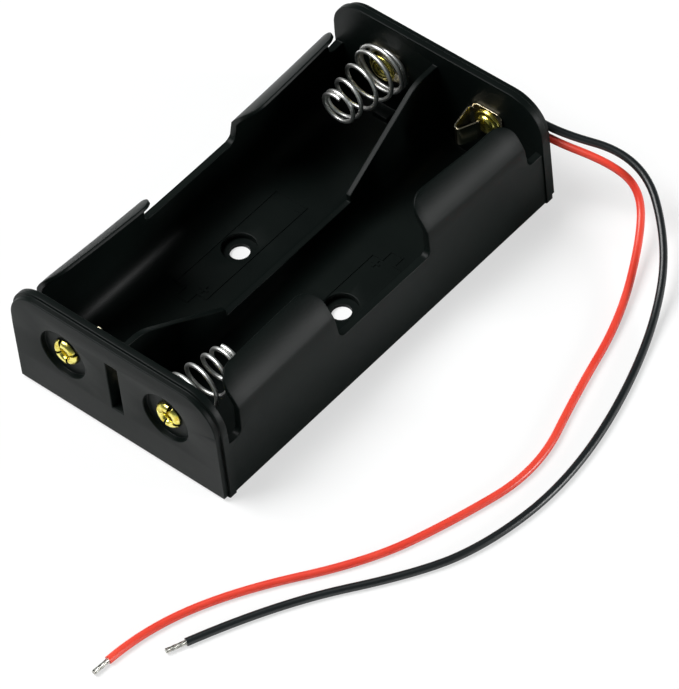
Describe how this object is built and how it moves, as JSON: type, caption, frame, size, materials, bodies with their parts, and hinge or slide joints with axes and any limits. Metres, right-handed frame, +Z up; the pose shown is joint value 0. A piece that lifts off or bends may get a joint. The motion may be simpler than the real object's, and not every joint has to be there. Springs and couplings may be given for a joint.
{
  "type": "cylindrical cell holder",
  "caption": "Open moulded tray with side-by-side bays for cylindrical cells, coil spring and leaf contacts, retaining lips, and flying leads with stripped ends.",
  "frame": {"origin": "middle of the tray's underside", "axes": "+X along the cell axes toward the end plate with the leads, +Y toward the bay whose spring is at that end, +Z up out of the bays"},
  "size_m": [0.1196, 0.0808, 0.0208],
  "materials": {
    "tray_plastic": "injection moulded styrene plastic, satin, dyed black",
    "nickel_strip": "nickel plated spring strip, bright",
    "spring_wire": "nickel plated spring steel wire, bright",
    "rivet_brass": "pressed brass, bright",
    "solder": "solder, satin",
    "red_insulation": "soft vinyl insulation, satin red",
    "black_insulation": "soft vinyl insulation, satin black",
    "tinned_copper": "tinned twisted copper strands"
  },
  "bodies": {
    "root": {"tray": "tray_plastic", "series_link": "nickel_strip", "negative_terminal": "nickel_strip", "leaf_contact_wired": "nickel_strip", "leaf_contact_linked": "nickel_strip", "spring_wired": "spring_wire", "spring_linked": "spring_wire", "rivet_leaf_wired": "rivet_brass", "rivet_spring_wired": "rivet_brass", "rivet_leaf_linked": "rivet_brass", "rivet_spring_linked": "rivet_brass", "solder_joint_red": "solder", "solder_joint_black": "solder", "red_lead": "red_insulation", "black_lead": "black_insulation", "red_lead_tip": "tinned_copper", "black_lead_tip": "tinned_copper"}
  },
  "joints": []
}
